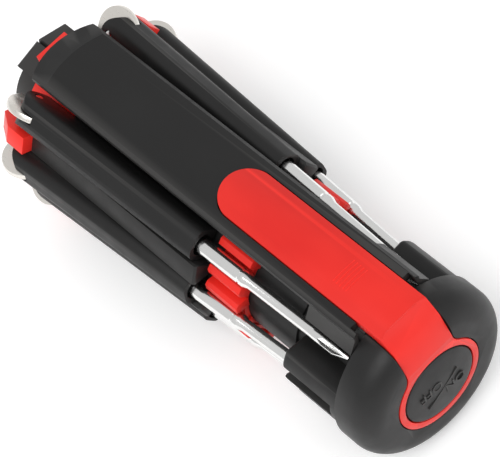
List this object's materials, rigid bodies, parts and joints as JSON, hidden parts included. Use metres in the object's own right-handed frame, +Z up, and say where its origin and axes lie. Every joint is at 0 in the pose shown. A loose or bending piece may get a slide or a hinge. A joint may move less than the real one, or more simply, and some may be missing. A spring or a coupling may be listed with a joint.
{
  "type": "pocket screwdriver",
  "caption": "Pocket screwdriver with folding drivers around a round battery body, a flat top cover, a red sliding battery door, a tail switch button and a lamp at the front.",
  "frame": {"origin": "centre of the box's base, below the middle of the tool", "axes": "+X along the tool towards the lamp, +Z up through the flat top cover"},
  "size_m": [0.134, 0.0538, 0.0495],
  "materials": {
    "black_plastic": "soft matte",
    "red_plastic": "satin",
    "bright_steel": "satin chrome",
    "pale_nickel": "pale nickel",
    "lamp_window": "clear",
    "lamp_bowl": "bright",
    "lamp_dome": "clear",
    "circuit_board": "matte",
    "cell_jacket": "plain",
    "switch_case": "matte"
  },
  "bodies": {
    "tool_body": {"core_body": "black_plastic", "top_cover": "black_plastic", "rear_cap": "black_plastic", "lamp_bezel": "black_plastic", "front_hub": "red_plastic", "clip_rack_left": "red_plastic", "clip_rack_right": "red_plastic", "hinge_pins": "bright_steel", "hub_screws": "bright_steel", "contact_springs": "bright_steel", "pivot_plate_1": "pale_nickel", "pivot_plate_2": "pale_nickel", "pivot_plate_3": "pale_nickel", "pivot_plate_4": "pale_nickel", "pivot_plate_5": "pale_nickel", "pivot_plate_6": "pale_nickel", "pivot_plate_7": "pale_nickel", "pivot_plate_8": "pale_nickel", "front_contacts": "pale_nickel", "rear_contacts": "pale_nickel", "lamp_lens": "lamp_window", "lamp_reflector": "lamp_bowl", "leds": "lamp_dome", "led_board": "circuit_board", "battery_cell_1": "cell_jacket", "battery_cell_2": "cell_jacket", "battery_cell_3": "cell_jacket", "switch_module": "switch_case"},
    "tail_button": {"tail_button": "black_plastic"},
    "driver_1": {"arm_handle_1": "black_plastic", "driver_shaft_1": "bright_steel"},
    "driver_2": {"arm_handle_2": "black_plastic", "driver_shaft_2": "bright_steel"},
    "driver_3": {"arm_handle_3": "black_plastic", "driver_shaft_3": "bright_steel"},
    "driver_4": {"arm_handle_4": "black_plastic", "driver_shaft_4": "bright_steel"},
    "driver_5": {"arm_handle_5": "black_plastic", "driver_shaft_5": "bright_steel"},
    "driver_6": {"arm_handle_6": "black_plastic", "driver_shaft_6": "bright_steel"},
    "driver_7": {"arm_handle_7": "black_plastic", "driver_shaft_7": "bright_steel"},
    "driver_8": {"arm_handle_8": "black_plastic", "driver_shaft_8": "bright_steel"},
    "battery_door": {"battery_door": "red_plastic"}
  },
  "joints": [
    {"name": "driver_1_hinge", "type": "hinge", "parent": "tool_body", "child": "driver_1", "pos_m": [0.052, 0.01388, 0.04052], "axis": [0, 0.7296, -0.6839], "range_deg": [0, 180]},
    {"name": "driver_2_hinge", "type": "hinge", "parent": "tool_body", "child": "driver_2", "pos_m": [0.052, 0.02011, 0.02845], "axis": [0, 0.1349, -0.9909], "range_deg": [0, 180]},
    {"name": "driver_3_hinge", "type": "hinge", "parent": "tool_body", "child": "driver_3", "pos_m": [0.052, 0.01734, 0.01515], "axis": [0, -0.5203, -0.854], "range_deg": [0, 180]},
    {"name": "driver_4_hinge", "type": "hinge", "parent": "tool_body", "child": "driver_4", "pos_m": [0.052, 0.00679, 0.00658], "axis": [0, -0.9423, -0.3346], "range_deg": [0, 180]},
    {"name": "driver_5_hinge", "type": "hinge", "parent": "tool_body", "child": "driver_5", "pos_m": [0.052, -0.01388, 0.04052], "axis": [0, 0.7296, 0.6839], "range_deg": [0, 180]},
    {"name": "driver_6_hinge", "type": "hinge", "parent": "tool_body", "child": "driver_6", "pos_m": [0.052, -0.02011, 0.02845], "axis": [0, 0.1349, 0.9909], "range_deg": [0, 180]},
    {"name": "driver_7_hinge", "type": "hinge", "parent": "tool_body", "child": "driver_7", "pos_m": [0.052, -0.01734, 0.01515], "axis": [0, -0.5203, 0.854], "range_deg": [0, 180]},
    {"name": "driver_8_hinge", "type": "hinge", "parent": "tool_body", "child": "driver_8", "pos_m": [0.052, -0.00679, 0.00658], "axis": [0, -0.9423, 0.3346], "range_deg": [0, 180]},
    {"name": "tail_button_press", "type": "slide", "parent": "tool_body", "child": "tail_button", "axis": [1, 0, 0], "range_m": [0, 0.0012], "stiffness_N_per_m": 400},
    {"name": "battery_door_slide", "type": "slide", "parent": "tool_body", "child": "battery_door", "axis": [-1, 0, 0], "range_m": [0, 0.066]}
  ]
}
